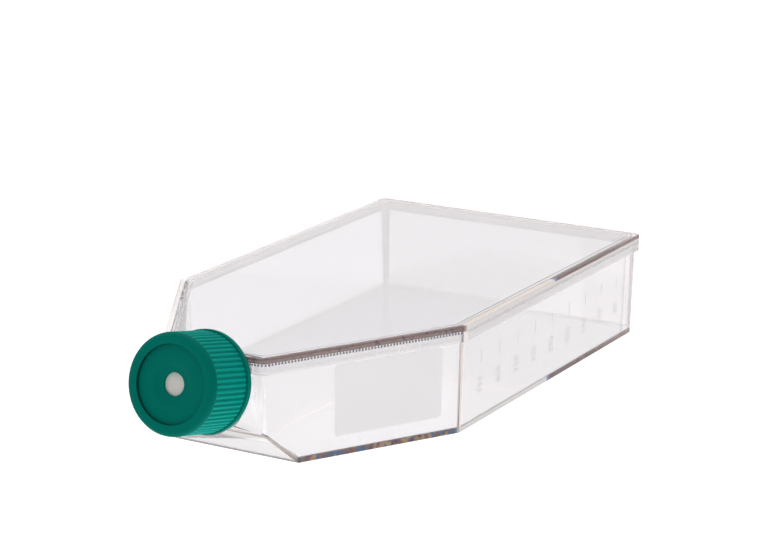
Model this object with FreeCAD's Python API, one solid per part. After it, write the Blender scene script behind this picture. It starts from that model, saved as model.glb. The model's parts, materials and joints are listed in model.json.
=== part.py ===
"""Cell culture flask with a canted screw neck and a vented cap, in millimetres.

The flask lies on its growth surface. +Z is up, the neck points to -X and tilts upwards, and
the XZ plane is the plane of symmetry. The origin is on the resting face, midway along the
body. Four pieces make the flask: the moulded tub with its neck, the plate that closes the tub,
the cap, and the vent membrane under the hole in the cap.
"""
import FreeCAD
import Part
import math
import os

Vector = FreeCAD.Vector

# --- body outline, seen from above, at the rim ------------------------------------------------
BODY_LENGTH = 202.0
BODY_WIDTH = 113.0
FRONT_WIDTH = 38.5
SHOULDER_LENGTH = 64.0
FRONT_CORNER_RADIUS = 4.5
SHOULDER_CORNER_RADIUS = 4.0
BACK_CORNER_RADIUS = 6.0

# --- tub --------------------------------------------------------------------------------------
TUB_HEIGHT = 35.6
WALL = 1.6
FLOOR = 1.6
DRAFT_DEG = 2.0
RIM_OVERHANG = 1.3
RIM_HEIGHT = 3.7
RAMP_RUN = 13.0
RAMP_RISE = 11.0
RAMP_WALL = 1.6

# --- top plate --------------------------------------------------------------------------------
PLATE_THICKNESS = 1.8
LOCATING_RIB_WIDTH = 1.2
LOCATING_RIB_DEPTH = 0.8
PLATE_CLEARANCE = 0.2

# --- neck: its mouth is measured from the front of the rim and from the resting face -----------
NECK_TILT_DEG = 13.2
MOUTH_REACH = 20.0
MOUTH_HEIGHT = 31.8
NECK_BORE_RADIUS = 11.0
NECK_WALL = 1.6
MOUTH_BEVEL = 0.4
BOSS_RADIUS = 14.6
BOSS_HEIGHT = 25.6
BRIDGE = 1.6

# --- screw thread, single start, right-handed ---------------------------------------------------
THREAD_LEAD = 4.0
THREAD_TURNS = 1.6
THREAD_DEPTH = 1.0
THREAD_ROOT_WIDTH = 1.8
THREAD_CREST_WIDTH = 0.8
THREAD_START = 2.0
THREAD_RADIAL_CLEARANCE = 0.35
THREAD_FLANK_CLEARANCE = 0.15
THREAD_SINK = 0.3

# --- cap: heights are measured outwards from the mouth of the neck -------------------------------
CAP_LENGTH = 20.7
CAP_RADIUS = 16.3
CAP_TOP = 3.0
CAP_EDGE_RADIUS = 1.6
RIB_COUNT = 60
RIB_DEPTH = 0.5
RIB_CREST_SHARE = 0.36
RIB_ROOT_SHARE = 0.30
RIB_FRONT_GAP = 1.9
GROOVE_WIDTH = 0.7
FLANGE_RADIUS = 16.7
FLANGE_THICKNESS = 1.9
FLANGE_BEVEL = 0.35
FLANGE_CLEARANCE = 0.8
RECESS_RADIUS = 12.6
RECESS_DEPTH = 1.2
DISH_RADIUS = 7.4
DISH_DEPTH = 0.4
VENT_RADIUS = 3.7
PLUG_THICKNESS = 1.0
PLUG_DEPTH = 1.8
PLUG_CLEARANCE = 0.3

# --- vent membrane --------------------------------------------------------------------------------
MEMBRANE_RADIUS = 6.5
MEMBRANE_THICKNESS = 0.3

# --- places that follow from the sizes above --------------------------------------------------------
OVERSHOOT = 5.0
SHARPEST_RADIUS_SHARE = 0.25
SAME_PLACE = 1e-4
FRONT_X = -BODY_LENGTH / 2
DRAFT = math.tan(math.radians(DRAFT_DEG))
TILT = math.radians(NECK_TILT_DEG)
NECK_AXIS = Vector(-math.cos(TILT), 0, math.sin(TILT))
MOUTH = Vector(FRONT_X - MOUTH_REACH, 0, MOUTH_HEIGHT)
NECK_RADIUS = NECK_BORE_RADIUS + NECK_WALL
BULKHEAD_X = FRONT_X + RIM_OVERHANG + WALL
CAP_SKIRT = CAP_LENGTH - CAP_TOP
CAP_BORE_RADIUS = NECK_RADIUS + THREAD_DEPTH + THREAD_RADIAL_CLEARANCE
BOSS_FACE = CAP_SKIRT + FLANGE_CLEARANCE
THREAD_MEAN_WIDTH = (THREAD_ROOT_WIDTH + THREAD_CREST_WIDTH) / 2


def rim_corners():
    """The corners of the body's outline, anticlockwise from the front, with their radii."""
    shoulder_x = FRONT_X + SHOULDER_LENGTH
    back_x = FRONT_X + BODY_LENGTH
    half = [
        (FRONT_X, FRONT_WIDTH / 2, FRONT_CORNER_RADIUS),
        (shoulder_x, BODY_WIDTH / 2, SHOULDER_CORNER_RADIUS),
        (back_x, BODY_WIDTH / 2, BACK_CORNER_RADIUS),
    ]
    near = [(x, -y, radius) for x, y, radius in half]
    return near + half[::-1]


def inset_corners(corners, inset):
    """Move each side of a convex outline inwards by one distance, and shrink its radii."""
    moved = []
    count = len(corners)
    for index in range(count):
        before = Vector(*corners[index - 1][:2], 0)
        here = Vector(*corners[index][:2], 0)
        after = Vector(*corners[(index + 1) % count][:2], 0)
        along_in = (here - before).normalize()
        along_out = (after - here).normalize()
        half_turn = along_in.getAngle(along_out) / 2
        inward_in = Vector(-along_in.y, along_in.x, 0)
        inward_out = Vector(-along_out.y, along_out.x, 0)
        bisector = (inward_in + inward_out).normalize()
        point = here + bisector * (inset / math.cos(half_turn))
        radius = max(corners[index][2] - inset, corners[index][2] * SHARPEST_RADIUS_SHARE)
        moved.append((point.x, point.y, radius))
    return moved


def outline_wire(corners, height):
    """A closed wire of straight sides and tangent arcs through rounded corners."""
    count = len(corners)
    arcs = []
    for index in range(count):
        before = Vector(*corners[index - 1][:2], height)
        here = Vector(*corners[index][:2], height)
        after = Vector(*corners[(index + 1) % count][:2], height)
        radius = corners[index][2]
        to_before = (before - here).normalize()
        to_after = (after - here).normalize()
        half_angle = to_before.getAngle(to_after) / 2
        setback = radius / math.tan(half_angle)
        centre = here + (to_before + to_after).normalize() * (radius / math.sin(half_angle))
        middle = centre + (here - centre).normalize() * radius
        arcs.append((here + to_before * setback, middle, here + to_after * setback))
    edges = []
    for index, (start, middle, end) in enumerate(arcs):
        edges.append(Part.Arc(start, middle, end).toShape())
        edges.append(Part.LineSegment(end, arcs[(index + 1) % count][0]).toShape())
    return Part.Wire(edges)


def wall_inset(height):
    """How far the drafted outer wall stands inside the rim at a height."""
    return RIM_OVERHANG + (TUB_HEIGHT - height) * DRAFT


def drafted_solid(low, high, extra_inset):
    """The drafted outline between two heights, as one solid."""
    wires = []
    for height in (low, high):
        corners = inset_corners(rim_corners(), wall_inset(height) + extra_inset)
        wires.append(outline_wire(corners, height))
    return Part.makeLoft(wires, True, True)


def prism(corners, low, high):
    """An outline pulled straight up between two heights."""
    face = Part.Face(outline_wire(corners, low))
    return face.extrude(Vector(0, 0, high - low))


def below_ramp(offset):
    """Everything under the sloped floor in front of the resting face, moved up by an offset."""
    foot = Vector(FRONT_X + RAMP_RUN, 0, 0)
    head = Vector(FRONT_X + wall_inset(RAMP_RISE), 0, RAMP_RISE)
    slope = (head - foot).normalize()
    lift = Vector(-slope.z, 0, slope.x) * -offset
    low = foot + lift - slope * OVERSHOOT * 2
    high = head + lift + slope * RAMP_RUN * 2
    reach = high.x - OVERSHOOT
    depth = low.z - OVERSHOOT
    points = [low, high, Vector(reach, 0, high.z), Vector(reach, 0, depth), Vector(low.x, 0, depth)]
    face = Part.Face(Part.makePolygon(points + [low]))
    face.translate(Vector(0, -BODY_WIDTH, 0))
    return face.extrude(Vector(0, BODY_WIDTH * 2, 0))


def on_neck(shape):
    """Move a shape built along +Z, with the mouth at zero, onto the axis of the neck."""
    placement = FreeCAD.Placement(MOUTH, FreeCAD.Rotation(Vector(0, 0, 1), NECK_AXIS))
    return shape.transformed(placement.toMatrix())


def revolved(points):
    """Turn a closed outline of (radius, height) points once round the Z axis."""
    outline = [Vector(radius, 0, height) for radius, height in points]
    face = Part.Face(Part.makePolygon(outline + [outline[0]]))
    return face.revolve(Vector(0, 0, 0), Vector(0, 0, 1), 360)


def rounded_ring(solid, ring_radius, height, edge_radius):
    """Round the circular edge that has the given radius and height."""
    rings = []
    for edge in solid.Edges:
        curve = edge.Curve
        if isinstance(curve, Part.Circle) and abs(curve.Center.z - height) < SAME_PLACE:
            if abs(curve.Radius - ring_radius) < SAME_PLACE:
                rings.append(edge)
    return solid.makeFillet(edge_radius, rings)


def thread(wall_radius, outward, start, turns):
    """A helical ridge on a cylinder, rising along +Z from a start height."""
    side = 1 if outward else -1
    flank = (THREAD_ROOT_WIDTH - THREAD_CREST_WIDTH) / 2 / THREAD_DEPTH
    buried = wall_radius - side * THREAD_SINK
    crest = wall_radius + side * THREAD_DEPTH
    half_buried = THREAD_ROOT_WIDTH / 2 + flank * THREAD_SINK
    half_crest = THREAD_CREST_WIDTH / 2
    corners = [
        Vector(buried, 0, -half_buried),
        Vector(crest, 0, -half_crest),
        Vector(crest, 0, half_crest),
        Vector(buried, 0, half_buried),
    ]
    section = Part.makePolygon(corners + [corners[0]])
    helix = Part.Wire(Part.makeHelix(THREAD_LEAD, THREAD_LEAD * turns, wall_radius).Edges)
    ridge = helix.makePipeShell([section], True, True)
    ridge.translate(Vector(0, 0, start))
    return ridge


def neck_thread_foot():
    """Height of the lower end of the neck's thread, below the mouth."""
    return -THREAD_START - THREAD_TURNS * THREAD_LEAD


def beyond_on_neck(depth):
    """Everything on the mouth's side of a plane across the neck, at a depth below the mouth."""
    return on_neck(Part.makeCylinder(BODY_WIDTH, BODY_WIDTH, Vector(0, 0, -depth)))


def neck_boss():
    """The block with a round underside that joins the neck to the front wall."""
    half_arch = math.sqrt(BOSS_RADIUS**2 - (TUB_HEIGHT - BOSS_HEIGHT) ** 2)
    foot = Vector(BULKHEAD_X, 0, BOSS_HEIGHT - BOSS_RADIUS)
    crown = Vector(BULKHEAD_X, 0, BOSS_HEIGHT + BOSS_RADIUS)
    near = [
        Vector(BULKHEAD_X, -BOSS_RADIUS, BOSS_HEIGHT),
        Vector(BULKHEAD_X, -BOSS_RADIUS, TUB_HEIGHT),
        Vector(BULKHEAD_X, -half_arch, TUB_HEIGHT),
    ]
    far = [Vector(point.x, -point.y, point.z) for point in near]
    section = Part.Wire([
        Part.Arc(near[0], foot, far[0]).toShape(),
        Part.LineSegment(far[0], far[1]).toShape(),
        Part.LineSegment(far[1], far[2]).toShape(),
        Part.Arc(far[2], crown, near[2]).toShape(),
        Part.LineSegment(near[2], near[1]).toShape(),
        Part.LineSegment(near[1], near[0]).toShape(),
    ])
    block = Part.Face(section).extrude(Vector(-MOUTH_REACH, 0, 0))
    return block.cut(beyond_on_neck(BOSS_FACE))


def boss_hollow():
    """The space inside the boss, one wall thickness from its skin, closed under the plate."""
    ceiling = TUB_HEIGHT - BRIDGE
    radius = BOSS_RADIUS - NECK_WALL
    back_x = BULKHEAD_X + WALL
    front_x = back_x - MOUTH_REACH
    low = Part.makeCylinder(radius, MOUTH_REACH, Vector(back_x, 0, BOSS_HEIGHT), Vector(-1, 0, 0))
    middle_corner = Vector(front_x, -radius, BOSS_HEIGHT)
    middle = Part.makeBox(MOUTH_REACH, radius * 2, ceiling - BOSS_HEIGHT, middle_corner)
    above_corner = Vector(front_x, -BODY_WIDTH / 2, ceiling)
    above = Part.makeBox(MOUTH_REACH, BODY_WIDTH, TUB_HEIGHT, above_corner)
    return low.fuse(middle).cut(above).cut(beyond_on_neck(BOSS_FACE + NECK_WALL))


def neck_passage():
    """The bore through the neck, closed at the top where the plate begins."""
    length = MOUTH_REACH + CAP_LENGTH
    bore = on_neck(Part.makeCylinder(NECK_BORE_RADIUS, length, Vector(0, 0, OVERSHOOT - length)))
    ceiling = TUB_HEIGHT - BRIDGE
    corner = Vector(BULKHEAD_X - BRIDGE, -BODY_WIDTH / 2, ceiling)
    stop = Part.makeBox(length, BODY_WIDTH, TUB_HEIGHT, corner)
    return bore.cut(stop)


def flask_body():
    """The tub: floor, ramp, drafted walls, rim and threaded neck, moulded in one."""
    outer = drafted_solid(0, TUB_HEIGHT, 0).cut(below_ramp(0))
    rim = prism(rim_corners(), TUB_HEIGHT - RIM_HEIGHT, TUB_HEIGHT)
    hollow = drafted_solid(FLOOR, TUB_HEIGHT + OVERSHOOT, WALL).cut(below_ramp(RAMP_WALL))
    tub = outer.fuse(rim).cut(hollow)
    tube_foot = -BOSS_FACE - BRIDGE
    tube = revolved([
        (0, tube_foot), (NECK_RADIUS, tube_foot), (NECK_RADIUS, -MOUTH_BEVEL),
        (NECK_RADIUS - MOUTH_BEVEL, 0), (0, 0),
    ])
    ridge = thread(NECK_RADIUS, True, neck_thread_foot(), THREAD_TURNS)
    solid = tub.fuse([neck_boss(), on_neck(tube), on_neck(ridge)])
    return solid.cut(neck_passage()).removeSplitter().cut(boss_hollow())


def top_plate():
    """The flat plate welded on the rim, with a rib underneath that finds its place."""
    top = TUB_HEIGHT + PLATE_THICKNESS
    plate = prism(rim_corners(), TUB_HEIGHT, top)
    rib_inset = RIM_OVERHANG + WALL + PLATE_CLEARANCE + LOCATING_RIB_DEPTH * DRAFT
    rib_foot = TUB_HEIGHT - LOCATING_RIB_DEPTH
    rib = prism(inset_corners(rim_corners(), rib_inset), rib_foot, TUB_HEIGHT)
    middle_inset = rib_inset + LOCATING_RIB_WIDTH
    middle = prism(inset_corners(rim_corners(), middle_inset), rib_foot - OVERSHOOT, TUB_HEIGHT)
    notch_radius = BOSS_RADIUS + PLATE_CLEARANCE
    notch_start = Vector(FRONT_X - OVERSHOOT, 0, BOSS_HEIGHT)
    notch_length = BULKHEAD_X + PLATE_CLEARANCE - notch_start.x
    notch = Part.makeCylinder(notch_radius, notch_length, notch_start, Vector(1, 0, 0))
    return plate.fuse(rib.cut(middle)).cut(notch).removeSplitter()


def rib_ring(low, high):
    """A toothed prism: the straight grip ribs round the cap, with their roots."""
    root = CAP_RADIUS - RIB_DEPTH
    pitch = 2 * math.pi / RIB_COUNT
    half_root = pitch * (1 - RIB_ROOT_SHARE) / 2
    half_crest = pitch * RIB_CREST_SHARE / 2
    points = []
    for index in range(RIB_COUNT):
        middle = index * pitch
        shape = [(-half_root, root), (-half_crest, CAP_RADIUS), (half_crest, CAP_RADIUS), (half_root, root)]
        for turn, radius in shape:
            angle = middle + turn
            points.append(Vector(radius * math.cos(angle), radius * math.sin(angle), low))
    face = Part.Face(Part.makePolygon(points + [points[0]]))
    return face.extrude(Vector(0, 0, high - low))


def cap_shell():
    """The cap: ribbed skirt with a flange, recessed face, vent hole, plug seal and thread."""
    skirt_end = -CAP_SKIRT
    flange_top = skirt_end + FLANGE_THICKNESS
    ribs_low = flange_top + GROOVE_WIDTH
    ribs_high = CAP_TOP - RIB_FRONT_GAP
    core = CAP_RADIUS - RIB_DEPTH
    lip = FLANGE_RADIUS - FLANGE_BEVEL
    outside = revolved([
        (0, skirt_end), (lip, skirt_end), (FLANGE_RADIUS, skirt_end + FLANGE_BEVEL),
        (FLANGE_RADIUS, flange_top - FLANGE_BEVEL), (lip, flange_top), (core, flange_top),
        (core, ribs_high), (CAP_RADIUS, ribs_high), (CAP_RADIUS, CAP_TOP), (0, CAP_TOP),
    ])
    outside = rounded_ring(outside, CAP_RADIUS, CAP_TOP, CAP_EDGE_RADIUS)
    outside = outside.fuse(rib_ring(ribs_low, ribs_high))
    dish_top = CAP_TOP - RECESS_DEPTH
    dish_foot = dish_top - DISH_DEPTH
    recess = revolved([
        (0, CAP_TOP + OVERSHOOT), (RECESS_RADIUS, CAP_TOP + OVERSHOOT), (RECESS_RADIUS, dish_top),
        (DISH_RADIUS, dish_top), (VENT_RADIUS, dish_foot), (VENT_RADIUS, 0), (0, 0),
    ])
    plug_radius = NECK_BORE_RADIUS - PLUG_CLEARANCE
    inside = revolved([
        (0, skirt_end - OVERSHOOT), (CAP_BORE_RADIUS, skirt_end - OVERSHOOT), (CAP_BORE_RADIUS, 0),
        (plug_radius, 0), (plug_radius, -PLUG_DEPTH), (plug_radius - PLUG_THICKNESS, -PLUG_DEPTH),
        (plug_radius - PLUG_THICKNESS, 0), (0, 0),
    ])
    trail = THREAD_MEAN_WIDTH + THREAD_FLANK_CLEARANCE
    ridge = thread(CAP_BORE_RADIUS, False, neck_thread_foot() - trail, THREAD_TURNS)
    shell = outside.cut(recess.fuse(inside)).fuse(ridge)
    return on_neck(shell.removeSplitter())


def vent_membrane():
    """The disc of filter membrane welded to the ceiling of the cap, under the vent hole."""
    foot = Vector(0, 0, -MEMBRANE_THICKNESS)
    return on_neck(Part.makeCylinder(MEMBRANE_RADIUS, MEMBRANE_THICKNESS, foot))


def main():
    """Build each piece and write one STEP file for it."""
    pieces = {
        "flask_body": flask_body(),
        "top_plate": top_plate(),
        "cap_shell": cap_shell(),
        "vent_membrane": vent_membrane(),
    }
    os.makedirs("parts", exist_ok=True)
    for name, shape in pieces.items():
        shape.exportStep(f"parts/{name}.step")
        print(name, "solids", len(shape.Solids), "valid", shape.isValid(), "mm3", round(shape.Volume, 1))


main()
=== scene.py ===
"""Dresses a cell culture flask: clear tub and lid, ribbed screw cap, vent film and moulded marks.

The flask stands on its growth surface, +Z is up and the neck points to -X. Every length is in
metres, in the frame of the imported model. Places come from that model: its boxes, the axis of its
screw joint, and rays cast onto its walls.
"""
import json
import logging
import math
from dataclasses import dataclass
from enum import Enum
from typing import Any, Callable, Iterable, Sequence, Union

import bmesh
import bpy
from bpy.types import Material, Mesh, Object
from mathutils import Matrix, Vector
from mathutils.bvhtree import BVHTree


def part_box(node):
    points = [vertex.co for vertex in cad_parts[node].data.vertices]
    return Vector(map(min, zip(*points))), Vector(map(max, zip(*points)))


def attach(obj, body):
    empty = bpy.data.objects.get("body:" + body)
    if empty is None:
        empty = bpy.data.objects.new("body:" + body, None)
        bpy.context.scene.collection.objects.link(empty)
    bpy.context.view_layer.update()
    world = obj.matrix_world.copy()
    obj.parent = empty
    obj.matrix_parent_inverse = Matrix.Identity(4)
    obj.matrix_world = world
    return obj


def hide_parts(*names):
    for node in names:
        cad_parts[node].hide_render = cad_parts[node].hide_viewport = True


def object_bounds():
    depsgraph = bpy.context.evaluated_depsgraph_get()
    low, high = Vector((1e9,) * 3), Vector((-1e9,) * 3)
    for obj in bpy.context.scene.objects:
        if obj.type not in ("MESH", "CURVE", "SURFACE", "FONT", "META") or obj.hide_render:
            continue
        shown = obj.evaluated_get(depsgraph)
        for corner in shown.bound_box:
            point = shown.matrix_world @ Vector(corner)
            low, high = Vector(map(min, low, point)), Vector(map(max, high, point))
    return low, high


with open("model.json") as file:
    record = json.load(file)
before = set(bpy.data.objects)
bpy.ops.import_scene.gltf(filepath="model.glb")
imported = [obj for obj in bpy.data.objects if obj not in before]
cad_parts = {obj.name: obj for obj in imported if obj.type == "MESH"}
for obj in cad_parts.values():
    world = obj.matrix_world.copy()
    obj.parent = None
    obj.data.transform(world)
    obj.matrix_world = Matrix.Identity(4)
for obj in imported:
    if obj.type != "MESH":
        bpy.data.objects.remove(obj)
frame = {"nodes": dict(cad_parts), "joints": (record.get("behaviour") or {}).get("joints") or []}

log = logging.getLogger("flask")

CAD_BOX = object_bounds()
MM = 0.001
UP = Vector((0.0, 0.0, 1.0))
MERGE_DISTANCE = 2e-6
RAY_START = 1.0
THINNEST_PLATE = 1 * MM
FACES_UP = 0.9
BEVEL_SEGMENTS = 2
MOULDING_SHARP_DEG = 28.0
BEAD_SEGMENTS = 8
BEAD_RINGS = 5
ARC_STEPS = 5

# How fine the noises of the finishes are, in features to the metre.
WAVE_SCALE = 14.0
FLOW_SCALE = 55.0
SMEAR_SCALE = 90.0
SCUFF_SCALE = 420.0
CLOUD_SCALE = 700.0
CAP_GRAIN_SCALE = 2400.0
FROST_SCALE = 2600.0
MARK_GRAIN_SCALE = 3000.0
FIBRE_SCALE = 3800.0

# The sockets of a Mix node that hold its factor, both its colours and their blend.
MIX_INPUTS = (0, 6, 7)
MIX_OUTPUT = 2

Socket = bpy.types.NodeSocket
Colour = tuple[float, float, float, float]
Paint = Union[Socket, Colour]
Span = tuple[float, float]
BLACK: Colour = (0.0, 0.0, 0.0, 1.0)
WHITE: Colour = (1.0, 1.0, 1.0, 1.0)


class Body(Enum):
    """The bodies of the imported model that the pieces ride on."""

    FLASK = "flask"
    CAP = "cap"


class Slot(Enum):
    """The record's material slots."""

    CLEAR = "clear_polystyrene"
    GREEN = "green_polyethylene"
    WHITE = "white_membrane"


# --- node trees ---


def sign(operation: str, reflected: bool = False) -> Callable[["Channel", "Number"], "Channel"]:
    """Make the method behind one of Python's arithmetic signs.

    Args:
        operation: the Math node's operation.
        reflected: whether the channel stands to the right of the sign.

    Returns:
        The method.
    """

    def method(self: "Channel", other: "Number") -> "Channel":
        """Join self and other by the operation."""
        values = (other, self) if reflected else (self, other)
        return self.sheet.maths(operation, *values)

    return method


class Channel:
    """A number that varies over a surface, written with Python's own arithmetic."""

    __add__ = sign("ADD")
    __radd__ = sign("ADD", reflected=True)
    __sub__ = sign("SUBTRACT")
    __rsub__ = sign("SUBTRACT", reflected=True)
    __mul__ = sign("MULTIPLY")
    __rmul__ = sign("MULTIPLY", reflected=True)
    __truediv__ = sign("DIVIDE")
    most = sign("MAXIMUM")
    least = sign("MINIMUM")

    def __init__(self, sheet: "NodeSheet", socket: Socket) -> None:
        """Wrap one output socket of a sheet."""
        self.sheet = sheet
        self.socket = socket

    def __abs__(self) -> "Channel":
        """Return the size of self without its sign."""
        return self.sheet.maths("ABSOLUTE", self)

    def step(self, low: "Number", high: "Number") -> "Channel":
        """Return a smooth step from 0 at low to 1 at high.

        Args:
            low: where the step starts.
            high: where it ends.

        Returns:
            The step.
        """
        settings = {"interpolation_type": "SMOOTHSTEP"}
        inputs = {"Value": self, "From Min": low, "From Max": high}
        return self.sheet.channel("ShaderNodeMapRange", settings, inputs, "Result")

    def below(self, low: "Number", high: "Number") -> "Channel":
        """Return a smooth step from 1 at low to 0 at high."""
        return 1.0 - self.step(low, high)

    def reach(self, other: "Channel") -> "Channel":
        """Return the length of the line whose two parts are self and other."""
        return self.sheet.maths("SQRT", self * self + other * other)


Number = Union[Channel, float]


class NodeSheet:
    """A node tree, with short ways to add to it."""

    def __init__(self, tree: bpy.types.NodeTree) -> None:
        """Wrap a tree."""
        self.tree = tree

    def node(self, kind: str, settings: dict[str, Any], inputs: dict[Any, Any]) -> bpy.types.Node:
        """Add a node.

        Args:
            kind: the node's type name.
            settings: properties that are set first.
            inputs: value, Channel or socket for each input, by name or index.

        Returns:
            The new node.
        """
        made = self.tree.nodes.new(kind)
        for key, value in settings.items():
            setattr(made, key, value)
        for key, value in inputs.items():
            if isinstance(value, Channel):
                self.tree.links.new(value.socket, made.inputs[key])
            elif isinstance(value, Socket):
                self.tree.links.new(value, made.inputs[key])
            else:
                made.inputs[key].default_value = value
        return made

    def channel(
        self, kind: str, settings: dict[str, Any], inputs: dict[Any, Any], output: Union[str, int]
    ) -> Channel:
        """Add a node and wrap one of its outputs."""
        return Channel(self, self.node(kind, settings, inputs).outputs[output])

    def maths(self, operation: str, *values: Number) -> Channel:
        """Add a Math node on one or two values."""
        inputs = dict(enumerate(values))
        return self.channel("ShaderNodeMath", {"operation": operation}, inputs, 0)

    def axes(self, vector: Socket) -> tuple[Channel, Channel, Channel]:
        """Split a vector into three channels."""
        split = self.node("ShaderNodeSeparateXYZ", {}, {"Vector": vector})
        return tuple(Channel(self, output) for output in split.outputs)


class ShaderSheet(NodeSheet):
    """One material's node tree."""

    def __init__(self, name: str) -> None:
        """Start an empty material of that name.

        Args:
            name: the material's name.
        """
        self.material = bpy.data.materials.new(name)
        self.material.use_nodes = True
        super().__init__(self.material.node_tree)
        self.tree.nodes.clear()

    def place(self, turn: Matrix | None = None) -> Socket:
        """Object coordinates, or the same seen in a turned and moved frame.

        Args:
            turn: the frame's matrix, whose columns are its axes and its origin.

        Returns:
            A vector socket.
        """
        source = self.node("ShaderNodeTexCoord", {}, {}).outputs["Object"]
        if turn is None:
            return source
        inverse = turn.inverted()
        inputs = {
            "Vector": source,
            "Location": inverse.to_translation(),
            "Rotation": inverse.to_euler(),
        }
        return self.node("ShaderNodeMapping", {"vector_type": "POINT"}, inputs).outputs["Vector"]

    def noise(self, vector: Socket, scale: float, detail: float = 3.0) -> Channel:
        """Smooth noise from 0 to 1, at a scale in features to the metre."""
        inputs = {"Vector": vector, "Scale": scale, "Detail": detail}
        return self.channel("ShaderNodeTexNoise", {}, inputs, "Fac")

    def mixed_colour(self, factor: Number, low: Paint, high: Paint) -> Socket:
        """Blend two colours by a factor."""
        inputs = dict(zip(MIX_INPUTS, (factor, low, high)))
        return self.node("ShaderNodeMix", {"data_type": "RGBA"}, inputs).outputs[MIX_OUTPUT]

    def bump(self, height: Channel, depth: float) -> Socket:
        """Turn a height of 0 to 1 into a normal, for relief of the given depth in metres."""
        inputs = {"Height": height, "Distance": depth, "Strength": 1.0}
        return self.node("ShaderNodeBump", {}, inputs).outputs["Normal"]

    def principled(self, inputs: dict[str, Any]) -> Socket:
        """Add a Principled shader."""
        return self.node("ShaderNodeBsdfPrincipled", {}, inputs).outputs["BSDF"]

    def blended(self, share: Number, low: Socket, high: Socket) -> Socket:
        """Mix two shaders by a share."""
        return self.node("ShaderNodeMixShader", {}, {0: share, 1: low, 2: high}).outputs["Shader"]

    def finish(self, shader: Socket) -> Material:
        """Join the shader to the material's output and return the material."""
        self.node("ShaderNodeOutputMaterial", {}, {"Surface": shader})
        return self.material


class GeometrySheet(NodeSheet):
    """One Geometry Nodes tree with named inputs, which turns a mesh into a finished one."""

    def __init__(self, name: str) -> None:
        """Start a tree that takes a geometry in and gives one out.

        Args:
            name: the tree's name.
        """
        super().__init__(bpy.data.node_groups.new(name, "GeometryNodeTree"))
        self.tree.interface.new_socket("Geometry", in_out="INPUT", socket_type="NodeSocketGeometry")
        self.tree.interface.new_socket("Geometry", in_out="OUTPUT", socket_type="NodeSocketGeometry")
        self.source = self.tree.nodes.new("NodeGroupInput")
        self.geometry = self.source.outputs["Geometry"]
        self.identifiers: dict[str, str] = {}

    def size(self, name: str, kind: str = "Float") -> Channel:
        """Add a named input, such as a length or a count, and return it.

        Args:
            name: the input's name.
            kind: its type of socket.

        Returns:
            The input's value.
        """
        socket_type = "NodeSocket" + kind
        entry = self.tree.interface.new_socket(name, in_out="INPUT", socket_type=socket_type)
        self.identifiers[name] = entry.identifier
        return Channel(self, self.source.outputs[name])

    def sizes(self, *names: str) -> tuple[Channel, ...]:
        """Add several named lengths or shares and return them."""
        return tuple(self.size(name) for name in names)

    def scatter(self, points: Socket, instance: Socket) -> None:
        """Set an instance on each point and finish the tree."""
        inputs = {"Points": points, "Instance": instance}
        self.finish(self.node("GeometryNodeInstanceOnPoints", {}, inputs).outputs["Instances"])

    def finish(self, geometry: Socket) -> None:
        """Make the instances real, set the material and join the tree's output.

        Args:
            geometry: what the tree has made.
        """
        material = self.size("Material", "Material")
        real = self.node("GeometryNodeRealizeInstances", {}, {"Geometry": geometry})
        inputs = {"Geometry": real.outputs["Geometry"], "Material": material}
        dressed = self.node("GeometryNodeSetMaterial", {}, inputs)
        self.node("NodeGroupOutput", {}, {"Geometry": dressed.outputs["Geometry"]})

    def grow(self, seed: Mesh, name: str, sizes: dict[str, Any]) -> Mesh:
        """Run the tree on a mesh.

        Args:
            seed: the mesh that the tree starts from.
            name: the new mesh's name.
            sizes: a value for each named input.

        Returns:
            The result as a plain mesh.
        """
        holder = link(name + "_seed", seed)
        modifier = holder.modifiers.new(name, "NODES")
        modifier.node_group = self.tree
        for key, value in sizes.items():
            modifier[self.identifiers[key]] = value
        return evaluated(name, holder)


def link(name: str, data: bpy.types.ID) -> Object:
    """Put a mesh, a curve or a camera into the scene as an object at the origin.

    Args:
        name: the object's name.
        data: its mesh, curve or camera.

    Returns:
        The new object.
    """
    piece = bpy.data.objects.new(name, data)
    bpy.context.scene.collection.objects.link(piece)
    return piece


def evaluated(name: str, holder: Object) -> Mesh:
    """Take the shape that an object evaluates to as a plain mesh, and remove the object.

    Args:
        name: the new mesh's name.
        holder: the object, with its modifiers.

    Returns:
        The mesh.
    """
    depsgraph = bpy.context.evaluated_depsgraph_get()
    mesh = bpy.data.meshes.new_from_object(holder.evaluated_get(depsgraph), depsgraph=depsgraph)
    mesh.name = name
    bpy.data.objects.remove(holder)
    return mesh


# --- finishes ---


@dataclass(frozen=True)
class Patch:
    """A rectangle with round corners on a flat wall.

    Args:
        frame: matrix whose X and Y axes lie in the wall and whose Z axis points out of it.
        width: size along X.
        height: size along Y.
        corner: radius of the corners.
    """

    frame: Matrix
    width: float
    height: float
    corner: float


MIDDLE: Span = (-4 * MM, 4 * MM)
PAST_MIDDLE: Span = (-1 * MM, 1 * MM)
POLYSTYRENE_REFRACTION = 1.59


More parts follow.
